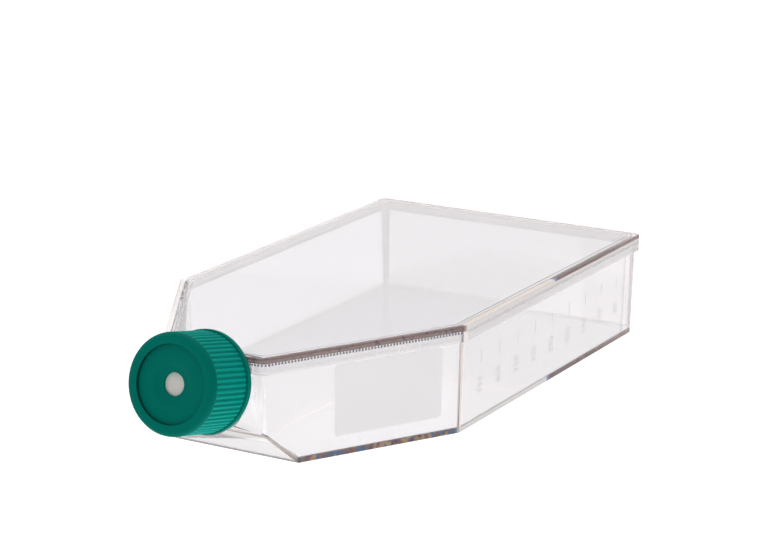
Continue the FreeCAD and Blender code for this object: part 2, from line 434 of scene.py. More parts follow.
@dataclass(frozen=True)
class Form:
    """Where the parts of the clear mouldings lie, so that their material can tell them apart.

    Args:
        floor_top: height to which the floor's edge glows through the wall.
        rim_foot: height of the underside of the rim.
        seat: height of the weld between rim and lid.
        lid_top: height of the lid.
        half_width: from the middle to the straight sides of the rim.
        back_x: place of the back of the rim.
        shoulder_out: direction out of the near shoulder wall, seen from above.
        shoulder_reach: how far that wall's rim lies out along that direction.
        ramp_x: place where the ramp meets the floor.
        ramp_run: length of the ramp along the flask.
        ramp_top: height of the ramp's top.
    """

    floor_top: float
    rim_foot: float
    seat: float
    lid_top: float
    half_width: float
    back_x: float
    shoulder_out: Vector
    shoulder_reach: float
    ramp_x: float
    ramp_run: float
    ramp_top: float
    back_border: Span = (-0.3 * MM, 0.3 * MM)
    shoulder_bend_deg: Span = (1.0, 3.0)
    back_bend_start_deg: Span = (12.0, 16.0)
    back_bend_end_deg: Span = (76.0, 80.0)
    front_border: float = 2 * MM

    def to_outline(self, x: Channel, y: Channel) -> Channel:
        """How far inside the rim's outline a place is.

        Args:
            x: place along the flask.
            y: place across it.

        Returns:
            The distance to the nearest straight side.
        """
        side = abs(y)
        to_shoulder = self.shoulder_reach - x * self.shoulder_out.x - side * abs(self.shoulder_out.y)
        return (self.half_width - side).least(to_shoulder).least(self.back_x - x)

    def far_side(self, x: Channel, y: Channel) -> Channel:
        """Return 1 beyond the middle and along the back."""
        nearest_back = (self.half_width - abs(y) - (self.back_x - x)).step(*self.back_border)
        return y.step(*MIDDLE).most(nearest_back)

    def rise(self, x: Channel) -> Channel:
        """Height of the outside of the bottom: none on the floor, then up the ramp."""
        return ((self.ramp_x - x) * (self.ramp_top / self.ramp_run)).most(0.0)

    def bends(self, x: Channel, out_x: Channel, out_y: Channel) -> Channel:
        """Find the rounded upright corners behind the front, by the way they face.

        Args:
            x: place along the flask.
            out_x: how far the surface faces along the flask.
            out_y: how far it faces across it.

        Returns:
            1 on those corners and 0 elsewhere.
        """
        turn = x.sheet.maths("ARCTAN2", abs(out_x), abs(out_y))
        shoulder = math.atan2(abs(self.shoulder_out.x), abs(self.shoulder_out.y))
        start, end = (math.radians(angle) for angle in self.shoulder_bend_deg)
        at_shoulder = turn.step(start, end) * turn.below(shoulder - end, shoulder - start)
        at_back = turn.step(*(math.radians(angle) for angle in self.back_bend_start_deg))
        at_back = at_back * turn.below(*(math.radians(angle) for angle in self.back_bend_end_deg))
        behind = x.step(*PAST_MIDDLE)
        past_front = x.step(self.ramp_x - self.front_border, self.ramp_x)
        return past_front * (at_shoulder * (1.0 - behind) + at_back * behind)


@dataclass(frozen=True)
class Specks:
    """Soft specks of one colour.

    Args:
        colour: their colour.
        scale: how many to the metre.
        detail: how ragged they are.
        cover: from which value of the noise they start, and where they are full.
    """

    colour: Colour
    scale: float
    detail: float
    cover: Span

    def over(self, sheet: ShaderSheet, here: Socket, base: Paint, share: Number) -> Socket:
        """Lay the specks over a base colour.

        Args:
            sheet: the material's sheet.
            here: Object coordinates.
            base: the colour under the specks.
            share: how strong they are.

        Returns:
            The colour with its specks.
        """
        patches = sheet.noise(here, self.scale, self.detail).step(*self.cover)
        return sheet.mixed_colour(patches * share, base, self.colour)


@dataclass(frozen=True)
class EdgeGlow:
    """Painted refraction shade and light on the thick edges of the clear mouldings: brown painted shade
    where they look dark, pale painted light elsewhere, with painted rainbow specks and a painted blue
    glint.
    """

    # Brown painted shade, flecked with painted rainbow specks of refracted light.
    brown: Colour = (0.26, 0.165, 0.15, 1.0)
    plum: Specks = Specks((0.14, 0.08, 0.12, 1.0), 640.0, 2.0, (0.54, 0.66))
    tan: Specks = Specks((0.52, 0.33, 0.20, 1.0), 330.0, 1.0, (0.5, 0.6))
    blue: Specks = Specks((0.10, 0.19, 0.34, 1.0), 410.0, 1.0, (0.57, 0.64))
    # Pale painted light: on the edges, on the lid's top face and on the far side.
    pale: Colour = (0.87, 0.835, 0.82, 1.0)
    pale_top: Colour = (0.88, 0.79, 0.73, 1.0)
    far_pale: Colour = (0.95, 0.90, 0.88, 1.0)
    # Blue painted glint where the near edge turns dark again.
    spot: Colour = (0.03, 0.13, 0.50, 1.0)
    corner_x: float = -37.0 * MM
    dark_again_x: float = 28.0 * MM
    change: float = 1.2 * MM
    height_change: float = 1.0 * MM
    spot_length: float = 1.3 * MM
    spot_core: float = 0.4
    spot_share: float = 0.75
    calm: float = 0.7
    top_part: Span = (-0.9 * MM, -0.6 * MM)
    top_face: Span = (-0.2 * MM, -0.1 * MM)

    def past_corner(self, x: Channel) -> Channel:
        """Return 1 behind the corner between the shoulder and the straight side."""
        return x.step(self.corner_x - self.change, self.corner_x + self.change)

    def at_top(self, height: Channel, form: Form) -> Channel:
        """Return 1 in the lid's upper part."""
        return height.step(form.lid_top + self.top_part[0], form.lid_top + self.top_part[1])

    def pale_part(self, x: Channel, height: Channel, form: Form) -> Channel:
        """Find where the near edge gets pale painted light instead of brown painted shade: beyond the
        corner, and under the lid's top all along.

        Args:
            x: place along the flask.
            height: height.
            form: where the rim and the lid are.

        Returns:
            1 where it is pale and 0 where it is brown.
        """
        past_spot = x.step(self.dark_again_x, self.dark_again_x + self.change)
        in_rim = height.step(form.rim_foot, form.rim_foot + self.height_change)
        under_top = in_rim * (1.0 - self.at_top(height, form))
        return self.past_corner(x) * (1.0 - past_spot * (1.0 - under_top))

    def colour(self, sheet: ShaderSheet, here: Socket, form: Form) -> Socket:
        """Painted colour along the edge: brown painted shade on the near shoulder, pale painted light
        beyond it, brown painted shade again behind.

        Args:
            sheet: the material's sheet.
            here: Object coordinates.
            form: where the rim, the lid and the far side are.

        Returns:
            A colour socket.
        """
        x, y, height = sheet.axes(here)
        low = height.below(form.rim_foot / 2, form.rim_foot / 2 + self.height_change)
        lively = low * (1.0 - self.past_corner(x) * self.calm)
        brown = self.plum.over(sheet, here, self.brown, 1.0)
        brown = self.tan.over(sheet, here, brown, lively)
        brown = self.blue.over(sheet, here, brown, lively)
        top_face = height.step(form.lid_top + self.top_face[0], form.lid_top + self.top_face[1])
        pale = sheet.mixed_colour(top_face, self.pale, self.pale_top)
        near = sheet.mixed_colour(self.pale_part(x, height, form), brown, pale)
        # The painted blue glint, on the low edge and on the lid's top.
        on_spot = abs(x - self.dark_again_x).below(self.spot_length * self.spot_core, self.spot_length)
        on_spot = on_spot * low.most(self.at_top(height, form))
        near = sheet.mixed_colour(on_spot * self.spot_share, near, self.spot)
        return sheet.mixed_colour(form.far_side(x, y), near, self.far_pale)


@dataclass(frozen=True)
class PartSizes:
    """How wide the parts of the clear mouldings are, and where the borders between them fade.

    The spans without a unit are shares of a whole turn to one side: 1 faces straight up or down.
    """

    fade: float = 0.15 * MM
    upright: Span = (0.4, 0.6)
    slope_start: Span = (0.5, 0.6)
    slope_end: Span = (0.85, 0.9)
    level: Span = (0.9, 0.95)
    flat: Span = (0.95, 0.97)
    sideways: Span = (0.1, 0.2)
    ramp_border: float = 1.0 * MM
    ramp_gain: float = 0.25
    ramp_edge: float = 0.6 * MM
    crease_reach: float = 4.0 * MM
    line_width: float = 0.5 * MM
    strip_width: float = 1.1 * MM
    strip_gain: float = 0.75 * MM
    strip_fade: float = 1.2
    seam_width: float = 0.35 * MM
    side_border: Span = (-0.6, -0.5)
    side_start: Span = (-40 * MM, -34 * MM)
    back_wall: Span = (-6 * MM, -5 * MM)
    back_corner: Span = (-10 * MM, -9 * MM)
    back_part: float = 0.5
    far_start: Span = (-80 * MM, -60 * MM)
    corner_border: float = 2.0 * MM
    fold_in: float = 13.3 * MM
    fold_width: float = 0.6 * MM


class Parts:
    """Masks from 0 to 1 that tell the parts of the clear mouldings apart."""

    def __init__(self, sheet: ShaderSheet, form: Form, glow: EdgeGlow) -> None:
        """Find the parts.

        Args:
            sheet: the material's sheet.
            form: where the floor, the rim, the corners and the ramp are.
            glow: where the edges get pale painted light.
        """
        self.form = form
        self.sizes = PartSizes()
        self.x, self.y, self.height = sheet.axes(sheet.place())
        facing = sheet.node("ShaderNodeNewGeometry", {}, {}).outputs["True Normal"]
        self.out_x, self.out_y, out_z = sheet.axes(facing)
        self.tip = abs(out_z)
        self.upright = self.tip.below(*self.sizes.upright)
        self.far = form.far_side(self.x, self.y)
        self.light = self.far.most(glow.pale_part(self.x, self.height, form))
        self.past_corner = self.x.step(glow.corner_x - self.sizes.corner_border, glow.corner_x)
        self.find_levels()
        self.find_ramp()
        self.find_edge()
        self.find_walls()

    def find_levels(self) -> None:
        """Tell floor, rim and lid apart by height, with the floor rising along the ramp."""
        form, sizes, fade = self.form, self.sizes, self.sizes.fade
        self.on_ramp = self.x.below(form.ramp_x - sizes.ramp_border, form.ramp_x)
        self.above = self.height - form.rise(self.x)
        floor_top = form.floor_top * (1.0 + self.on_ramp * sizes.ramp_gain)
        self.in_floor = (self.above - floor_top).below(-fade, fade)
        self.in_lid = self.height.step(form.seat - fade, form.seat + fade)
        self.in_rim = self.height.step(form.rim_foot - fade, form.rim_foot) * (1.0 - self.in_lid)

    def find_ramp(self) -> None:
        """Find the ramp's faces, the part near its top, and the lines at its top and foot."""
        form, sizes, fade = self.form, self.sizes, self.sizes.fade
        self.sloped = self.tip.step(*sizes.slope_start) * self.tip.below(*sizes.slope_end)
        self.sloped = self.sloped * self.x.below(form.ramp_x, form.ramp_x + sizes.ramp_border)
        ramp = self.sloped * abs(self.out_y).below(*sizes.sideways)
        self.ramp = ramp * self.height.below(form.ramp_top + fade, form.ramp_top + 2 * fade)
        crease_foot = form.ramp_top - sizes.crease_reach
        self.crease = self.height.step(crease_foot, crease_foot + sizes.crease_reach / 2)
        top_line = self.height.step(form.ramp_top - sizes.line_width, form.ramp_top - fade)
        self.line = top_line.most(self.height.below(sizes.line_width, sizes.line_width + fade))

    def find_edge(self) -> None:
        """Find the cut edges of floor and lid, the seam, and the strip along the lid's outline."""
        form, sizes, fade = self.form, self.sizes, self.sizes.fade
        on_top = self.height.step(form.lid_top - fade, form.lid_top - fade / 2)
        on_top = on_top * self.tip.step(*sizes.level)
        width = sizes.strip_width + self.light * sizes.strip_gain
        strip = on_top * form.to_outline(self.x, self.y).below(width, width * sizes.strip_fade)
        seam_foot = form.seat - sizes.seam_width
        seam = self.in_rim * self.light * self.height.step(seam_foot - fade, seam_foot)
        tilted = self.tip.below(*sizes.flat) * (1.0 - self.sloped)
        self.edge = tilted * (self.in_floor + self.in_lid + seam) + strip

    def find_walls(self) -> None:
        """Find the upright bends, the straight side, the back and the line of the inner corner."""
        form, sizes, x, upright = self.form, self.sizes, self.x, self.upright
        self.bend = upright * form.bends(x, self.out_x, self.out_y) * (1.0 - self.edge)
        start, end = (share * form.half_width for share in sizes.side_border)
        side = upright * self.y.below(start, end) * x.step(*sizes.side_start)
        back = upright * x.step(*(form.back_x + border for border in sizes.back_wall)) * sizes.back_part
        self.side = side.most(back) * (1.0 - self.in_floor) * (1.0 - self.in_lid)
        self.at_back = x.step(*(form.back_x + border for border in sizes.back_corner))
        self.far_rim = upright * self.in_rim * self.far
        # Where the inner corner, seen through the wall, is painted as a dark line.
        fold_start = form.back_x - sizes.fold_in
        fold_end = fold_start + sizes.fold_width
        fold = x.step(fold_start, fold_start + sizes.fade) * x.below(fold_end, fold_end + sizes.fade)
        self.fold = fold * upright * (1.0 - self.in_rim) * (1.0 - self.edge) * (1.0 - self.far)


@dataclass(frozen=True)
class ClearPlastic:
    """Water-clear moulded polystyrene with a slight haze, and a frosted patch to write on; painted shade
    and painted light on its edges, bends, ramp, walls and inner corner line come in through the diffuse
    part.
    """

    name: str = "clear_polystyrene"
    tint: Colour = (0.992, 0.981, 0.992, 1.0)
    # Painted shade: the darker tint of the near walls, the straight side and the ramp.
    side_tint: Colour = (0.945, 0.925, 0.935, 1.0)
    haze_colour: Colour = (0.80, 0.765, 0.785, 1.0)
    # Painted refraction shade and light on the rounded upright corners: near, far and on the rim.
    bend_near: Colour = (0.98, 0.86, 0.82, 1.0)
    bend_far: Colour = (0.92, 0.86, 0.85, 1.0)
    bend_rim: Colour = (0.92, 0.85, 0.83, 1.0)
    # Painted refraction on the ramp: a pale face, dark painted lines at its top and foot, and a pale
    # painted foot; the dark line also marks the inner corner.
    ramp_pale: Colour = (0.95, 0.93, 0.93, 1.0)
    ramp_line: Colour = (0.36, 0.27, 0.24, 1.0)
    foot_pale: Colour = (0.64, 0.55, 0.51, 1.0)
    roughness: float = 0.02
    smear_gain: float = 1.5
    haze_roughness: float = 0.6
    haze: float = 0.04
    # Extra haze on the straight side and the back, as painted shade.
    haze_behind: float = 0.05
    # Share of the painted shade tint on the near shoulder wall.
    shoulder_tint: float = 0.5
    frost_share: float = 0.068
    frost_roughness: float = 0.45
    frost_relief: float = 0.05
    relief: float = 0.25 * MM
    soft_edge: float = 0.5 * MM
    patch_reach: float = 0.8 * MM
    edge_share: float = 0.72
    far_loss: float = 0.33
    pale_gain: float = 0.18
    # Painted glow on the far edges and the near bends, standing in for light passed on from behind.
    far_gleam: float = 0.42
    shoulder_gleam: float = 0.2
    rim_share: float = 0.20
    bend_share: float = 0.8
    far_bend_loss: float = 0.8
    # Shares of the painted glow on the near bends and at the back.
    bend_gleam: float = 0.2
    back_gleam: float = 0.45
    # Shares of the painted ramp face, its crease, its lines and the painted inner corner line.
    ramp_share: float = 0.2
    crease_share: float = 0.45
    line_share: float = 0.8
    fold_share: float = 0.22

    def patch_mask(self, sheet: ShaderSheet, patch: Patch) -> Channel:
        """Find the writing patch.

        Args:
            sheet: the material's sheet.
            patch: where the patch is.

        Returns:
            1 inside the patch and 0 outside it.
        """
        across, along, out = sheet.axes(sheet.place(patch.frame))
        past_x = (abs(across) - (patch.width / 2 - patch.corner)).most(0.0)
        past_y = (abs(along) - (patch.height / 2 - patch.corner)).most(0.0)
        inside = past_x.reach(past_y).below(patch.corner - self.soft_edge, patch.corner + self.soft_edge)
        return inside * abs(out).below(self.patch_reach, self.patch_reach + self.soft_edge)

    def haze_in(self, parts: Parts) -> Channel:
        """Share of the diffuse part, part by part: the plastic's slight haze, with painted shade on the
        straight side and back, and painted edge shade and light on edges, rim, bends, ramp and inner corner
        line.

        Args:
            parts: the masks of the parts.

        Returns:
            The share of haze and painted light.
        """
        far_clear = parts.far * parts.x.step(*parts.sizes.far_start) * self.far_loss
        haze = self.haze + parts.side * self.haze_behind
        haze = haze + parts.edge * (self.edge_share + parts.light * self.pale_gain) * (1.0 - far_clear)
        haze = haze + parts.upright * parts.in_rim * self.rim_share + parts.far_rim * self.rim_share
        haze = haze + parts.bend * self.bend_share * (1.0 - parts.y.step(*MIDDLE) * self.far_bend_loss)
        haze = haze + parts.ramp * (self.ramp_share + parts.crease * self.crease_share)
        return haze.most(parts.ramp * parts.line * self.line_share) + parts.fold * self.fold_share

    def gleam_in(self, parts: Parts) -> Channel:
        """Share of the painted glow on the far edges and the near bends, standing in for the light they
        pass on from behind.

        Args:
            parts: the masks of the parts.

        Returns:
            The share of painted glow.
        """
        far_share = self.shoulder_gleam + parts.past_corner * (1.0 - self.shoulder_gleam)
        bend_share = self.bend_gleam + parts.at_back * (self.back_gleam - self.bend_gleam)
        near_bend = parts.bend * (1.0 - parts.y.step(*MIDDLE))
        return (parts.edge + parts.far_rim) * parts.far * far_share + near_bend * bend_share

    def haze_tone(self, sheet: ShaderSheet, parts: Parts, glow: EdgeGlow) -> Socket:
        """Colour of the haze and of the painted edge shade and light, part by part.

        Args:
            sheet: the material's sheet.
            parts: the masks of the parts.
            glow: the colours of the edges.

        Returns:
            A colour socket.
        """
        # Painted refraction at the ramp's foot: a dark line, then pale.
        foot_start = parts.sizes.ramp_edge
        above_foot = parts.above.step(foot_start, foot_start + parts.sizes.fade)
        foot = sheet.mixed_colour(above_foot, self.ramp_line, self.foot_pale)
        edge = glow.colour(sheet, sheet.place(), parts.form)
        edge = sheet.mixed_colour(parts.on_ramp * parts.in_floor, edge, foot)
        body = sheet.mixed_colour(parts.edge, self.haze_colour, edge)
        # The rounded upright corners take their painted refraction colours.
        bend = sheet.mixed_colour(parts.x.step(*PAST_MIDDLE), self.bend_near, self.bend_far)
        bend = sheet.mixed_colour(parts.in_rim, bend, self.bend_rim)
        body = sheet.mixed_colour(parts.bend, body, bend)
        # The inner corner is painted as a dark line, and the ramp as a pale face with dark painted lines.
        body = sheet.mixed_colour(parts.fold, body, self.ramp_line)
        ramp = sheet.mixed_colour(parts.line, self.ramp_pale, self.ramp_line)
        return sheet.mixed_colour(parts.ramp, body, ramp)

    def build(self, form: Form, patch: Patch | None = None) -> Material:
        """Build the material.

        Args:
            form: where the floor, the rim, the corners and the ramp are.
            patch: the frosted patch, if the moulding has one.

        Returns:
            The material.
        """
        sheet = ShaderSheet(self.name if patch is None else self.name + "_frosted")
        glow = EdgeGlow()
        parts = Parts(sheet, form, glow)
        here = sheet.place()
        height = sheet.noise(here, WAVE_SCALE, 1.0)
        smears = sheet.noise(here, SMEAR_SCALE, 4.0)
        roughness = self.roughness + smears * (self.roughness * self.smear_gain)
        haze = self.haze_in(parts)
        if patch is not None:
            mask = self.patch_mask(sheet, patch)
            roughness = roughness + mask * self.frost_roughness
            haze = haze + mask * self.frost_share
            height = height + mask * sheet.noise(here, FROST_SCALE, 2.0) * self.frost_relief
        relief = sheet.bump(height, self.relief)
        # Painted shade: near upright walls, the straight side and the ramp take the darker tint.
        on_shoulder = parts.upright * (1.0 - parts.in_floor) * (1.0 - parts.far) * self.shoulder_tint
        tinted = parts.side.most(parts.ramp).most(on_shoulder)
        clear = sheet.principled({
            "Base Color": sheet.mixed_colour(tinted, self.tint, self.side_tint),
            "Roughness": roughness,
            "IOR": POLYSTYRENE_REFRACTION,
            "Transmission Weight": 1.0,
            "Normal": relief,
        })
        # The diffuse part: the plastic's haze, the painted edge shade and light, and the painted glow.
        hazy_and_painted_light = sheet.principled({
            "Base Color": self.haze_tone(sheet, parts, glow),
            "Roughness": self.haze_roughness,
            # Painted glow: emission on the far edges and the near bends, though they are no lamp.
            "Emission Color": sheet.mixed_colour(self.gleam_in(parts), BLACK, glow.far_pale),
            "Emission Strength": self.far_gleam,
            "Normal": relief,
        })
        return sheet.finish(sheet.blended(haze, clear, hazy_and_painted_light))


@dataclass(frozen=True)
class MarkPlastic:
    """The faint frosted face of a moulded mark, or the painted reflection and light on a weld bead.

    Args:
        name: the material's name.
        colour: colour of its frost; on the weld beads a dark green painted reflection of the cap.
        share: how frosted it is.
        away_colour: colour on the far side and behind away_from, if it differs; on the weld beads pale
            painted light.
        away_from: place along the flask from which that colour holds.
    """

    name: str
    colour: Colour
    share: float
    away_colour: Colour | None = None
    away_from: float = 0.0
    away_border: float = 1.0 * MM
    roughness: float = 0.12
    frost_roughness: float = 0.6
    uneven: float = 0.1
    relief: float = 0.02 * MM

    def build(self) -> Material:
        """Build the material.

        Returns:
            The material.
        """
        sheet = ShaderSheet(self.name)
        here = sheet.place()
        grain = sheet.noise(here, MARK_GRAIN_SCALE, 2.0)
        relief = sheet.bump(grain, self.relief)
        clear = sheet.principled({
            "Base Color": WHITE,
            "Roughness": self.roughness + grain * self.uneven,
            "IOR": POLYSTYRENE_REFRACTION,
            "Transmission Weight": 1.0,
            "Normal": relief,
        })
        body = self.colour
        if self.away_colour is not None:
            # Beyond away_from and on the far side the away colour holds: pale painted light on the weld
            # beads.
            x, y, _ = sheet.axes(here)
            away = x.step(self.away_from - self.away_border, self.away_from).most(y.step(*PAST_MIDDLE))
            body = sheet.mixed_colour(away, self.colour, self.away_colour)
        inputs = {"Base Color": body, "Roughness": self.frost_roughness, "Normal": relief}
        frost = sheet.principled(inputs)
        return sheet.finish(sheet.blended(self.share + grain * self.uneven, clear, frost))


@dataclass(frozen=True)
class CapPlastic:
    """Satin green polyethylene; the skirt's ribs and flange are painted lighter greens than the face, and
    the crests lighter than the grooves, as painted light.
    """

    name: str = "green_polyethylene"
    face: Colour = (0.0, 0.150, 0.115, 1.0)
    face_flow: Colour = (0.0, 0.172, 0.134, 1.0)
    # Painted light: lighter greens for the grooves, the crests and the flange than for the face.
    groove: Colour = (0.0, 0.240, 0.195, 1.0)
    crest: Colour = (0.0, 0.325, 0.265, 1.0)
    flange: Colour = (0.0, 0.195, 0.154, 1.0)
    # Painted shade in the step round the recess.
    corner: Colour = (0.0, 0.055, 0.042, 1.0)
    groove_radius: float = 15.8 * MM
    crest_radius: float = 16.3 * MM
    step_before: Span = (-0.25 * MM, -0.05 * MM)
    step_border: float = 0.1 * MM
    step_top: float = 0.3 * MM
    rib_before: Span = (-0.4 * MM, -0.1 * MM)
    rib_fade: float = 0.4 * MM
    roughness: float = 0.42
    flow_roughness: float = 0.08
    scuff_roughness: float = 0.12
    scuff_cover: Span = (0.55, 0.8)
    gloss: float = 0.02
    relief: float = 0.03 * MM

    def in_step(self, radius: Channel, height: Channel, cap: "ScrewCap") -> Channel:
        """Find the step round the recess, where shade is painted.

        Args:
            radius: distance from the cap's axis.
            height: place along that axis.
            cap: the cap's sizes.

        Returns:
            1 in the step and 0 elsewhere.
        """
        edge = cap.recess_radius
        face = cap.top - cap.recess_depth
        ring = radius.step(edge + self.step_before[0], edge + self.step_before[1])
        ring = ring * radius.below(edge, edge + self.step_border)
        tall = height.step(face - self.step_border, face) * height.below(cap.top - self.step_top, cap.top)
        return ring * tall

    def build(self, neck: Matrix, cap: "ScrewCap") -> Material:
        """Build the material.

        Args:
            neck: the frame whose Z axis is the cap's.
            cap: the cap's sizes.

        Returns:
            The material.
        """
        sheet = ShaderSheet(self.name)
        here = sheet.place()
        flow = sheet.noise(here, FLOW_SCALE, 3.0)
        scuffs = sheet.noise(here, SCUFF_SCALE, 5.0).step(*self.scuff_cover)
        x, y, height = sheet.axes(sheet.place(neck))
        radius = x.reach(y)
        low, high = cap.rib_ends()
        skin = sheet.mixed_colour(flow, self.face, self.face_flow)
        # Painted shade darkens the step round the recess.
        skin = sheet.mixed_colour(self.in_step(radius, height, cap), skin, self.corner)
        # Painted light: crests lighter than grooves, ribs and flange lighter than the face.
        on_crest = radius.step(self.groove_radius, self.crest_radius)
        ribs = sheet.mixed_colour(on_crest, self.groove, self.crest)
        ribs = sheet.mixed_colour(height.step(low - self.step_border, low), self.flange, ribs)
        on_ribs = radius.step(*(self.groove_radius + border for border in self.rib_before))
        on_ribs = on_ribs * height.below(high - self.rib_fade, high + self.rib_fade)
        shader = sheet.principled({
            "Base Color": sheet.mixed_colour(on_ribs, skin, ribs),
            "Roughness": self.roughness + flow * self.flow_roughness + scuffs * self.scuff_roughness,
            "Specular IOR Level": self.gloss,
            "Normal": sheet.bump(sheet.noise(here, CAP_GRAIN_SCALE, 3.0), self.relief),
        })
        return sheet.finish(shader)


@dataclass(frozen=True)
class FilterFilm:
    """Matt white filter membrane with a fine fibrous grain."""

    name: str = "white_membrane"
    colour: Colour = (0.68, 0.67, 0.63, 1.0)
    shade: Colour = (0.62, 0.61, 0.57, 1.0)
    roughness: float = 0.82
    fibre_roughness: float = 0.12
    relief: float = 0.05 * MM

    def build(self) -> Material:
        """Build the material.

        Returns:
            The material.
        """
        sheet = ShaderSheet(self.name)
        here = sheet.place()
        fibres = sheet.noise(here, FIBRE_SCALE, 5.0)
        shader = sheet.principled({
            "Base Color": sheet.mixed_colour(sheet.noise(here, CLOUD_SCALE, 3.0), self.shade, self.colour),
            "Roughness": self.roughness + fibres * self.fibre_roughness,
            "Normal": sheet.bump(fibres, self.relief),
        })
        return sheet.finish(shader)


# --- pieces ---


def dress(piece: Object, material: Material, body: Body) -> None:
    """Give a piece its material and its body, and report it.

    Args:
        piece: the piece, without materials so far.
        material: its finish.
        body: the body it rides on.
    """
    piece.data.materials.append(material)
    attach(piece, body.value)
    faces = sum(len(polygon.vertices) - 2 for polygon in piece.data.polygons)
    log.info("%s rides on %s, %d triangles", piece.name, body.value, faces)


def merged(node: str, flat_angle: float) -> bmesh.types.BMesh:
    """Open a node of the model with its loose triangles joined and its flat faces whole.

    Args:
        node: the node to copy.
        flat_angle: faces that meet at less than this angle, in radians, are joined.

    Returns:
        The working mesh.
    """
    work = bmesh.new()
    work.from_mesh(frame["nodes"][node].data)
    bmesh.ops.remove_doubles(work, verts=work.verts, dist=MERGE_DISTANCE)
    bmesh.ops.dissolve_limit(work, angle_limit=flat_angle, verts=work.verts, edges=work.edges)
    return work


def shaped(name: str, work: bmesh.types.BMesh) -> Mesh:
    """Close a working mesh and return it as a mesh of that name.

    Args:
        name: the new mesh's name.
        work: the working mesh, which is freed.

    Returns:
        The mesh.
    """
    mesh = bpy.data.meshes.new(name)
    work.to_mesh(mesh)
    work.free()
    return mesh


def joined(name: str, meshes: Sequence[Mesh]) -> Object:
    """Gather several meshes into one object.

    Args:
        name: the object's name.
        meshes: the meshes to gather.

    Returns:
        The new object.
    """
    work = bmesh.new()
    for mesh in meshes:
        work.from_mesh(mesh)
    for face in work.faces:
        face.material_index = 0
    return link(name, shaped(name, work))


def soften(piece: Object, width: float, crease: float, kept: Callable[[Vector], bool]) -> None:
    """Bevel the creases of a piece, with smooth shading between the flats.

    Args:
        piece: the piece, whose mesh is marked.
        width: the bevel's width.
        crease: the angle in radians from which an edge is a crease.
        kept: says for the middle of a crease whether it is bevelled.
    """
    work = bmesh.new()
    work.from_mesh(piece.data)
    weights = work.edges.layers.float.new("bevel_weight_edge")
    for edge in work.edges:
        middle = (edge.verts[0].co + edge.verts[1].co) / 2
        if len(edge.link_faces) == 2 and edge.calc_face_angle(0.0) > crease and kept(middle):
            edge[weights] = 1.0
    work.to_mesh(piece.data)
    work.free()
    bevel = piece.modifiers.new("edges", "BEVEL")
    bevel.limit_method = "WEIGHT"
    bevel.width = width
    bevel.segments = BEVEL_SEGMENTS
    bevel.harden_normals = True
    bevel.use_clamp_overlap = False
    piece.data.shade_smooth()
    piece.data.set_sharp_from_angle(angle=math.radians(MOULDING_SHARP_DEG))


# --- walls and marks ---


class Walls:
    """The outer walls of the tub, found by rays from outside."""

    def __init__(self) -> None:
        """Take the tub's faces from the model."""
        mesh = frame["nodes"]["flask_body"].data
        corners = [vertex.co.copy() for vertex in mesh.vertices]
        faces = [tuple(polygon.vertices) for polygon in mesh.polygons]
        self.faces = BVHTree.FromPolygons(corners, faces)

    def near(self, x: float, z: float) -> Matrix:
        """The frame on the near wall at a length and a height.

        Args:
            x: place along the flask.
            z: height.

        Returns:
            Matrix with X along the wall, Y up the wall, Z out of it, and its origin on the wall.
        """
        start = Vector((x, CAD_BOX[0][1] - RAY_START, z))
        spot, out, _, _ = self.faces.ray_cast(start, Vector((0.0, 1.0, 0.0)))
        if out.y > 0:
            out = -out
        along = UP.cross(out).normalized()
        up = out.cross(along)
        axes = Matrix((along, up, out)).transposed()
        return Matrix.Translation(spot) @ axes.to_4x4()


def plate_heights() -> tuple[float, float]:
    """Heights of the underside and of the top of the lid's plate, without its rib.

    Returns:
        The height of the underside and the height of the top.
    """
    corners = frame["nodes"]["top_plate"].data.vertices
    top = max(vertex.co.z for vertex in corners)
    level = [round(vertex.co.z, 6) for vertex in corners if vertex.co.z < top - THINNEST_PLATE]
    return max(set(level), key=level.count), top


def raised_strokes() -> GeometrySheet:
    """A tree that sets one bar on each point of a mesh, in the plane of that mesh.

    Returns:
        The tree's sheet.
    """
    sheet = GeometrySheet("raised strokes")
    width, length, relief = sheet.sizes("Stroke width", "Stroke length", "Relief")
    size = sheet.node("ShaderNodeCombineXYZ", {}, {"X": width, "Y": length, "Z": relief})
    bar = sheet.node("GeometryNodeMeshCube", {}, {"Size": size.outputs["Vector"]})
    sheet.scatter(sheet.geometry, bar.outputs["Mesh"])
    return sheet


def weld_beads() -> GeometrySheet:
    """A tree that strings beads along a closed line.

    Returns:
        The tree's sheet.
    """
    sheet = GeometrySheet("weld beads")
    pitch, radius = sheet.sizes("Pitch", "Bead radius")
    line = sheet.node("GeometryNodeMeshToCurve", {}, {"Mesh": sheet.geometry}).outputs["Curve"]
    settings = {"mode": "LENGTH"}
    even = sheet.node("GeometryNodeResampleCurve", settings, {"Curve": line, "Length": pitch})
    detail = {"Segments": BEAD_SEGMENTS, "Rings": BEAD_RINGS, "Radius": radius}
    ball = sheet.node("GeometryNodeMeshUVSphere", {}, detail)
    sheet.scatter(even.outputs["Curve"], ball.outputs["Mesh"])
    return sheet


def points_mesh(places: Sequence[Vector], closed: bool = False) -> Mesh:
    """A mesh of loose points, or of a closed line through them.

    Args:
        places: the points in order.
        closed: whether a line joins them.

    Returns:
        The mesh.
    """
    count = len(places)
    edges = [(index, (index + 1) % count) for index in range(count)] if closed else []
    mesh = bpy.data.meshes.new("points")
    mesh.from_pydata([tuple(place) for place in places], edges, [])
    return mesh


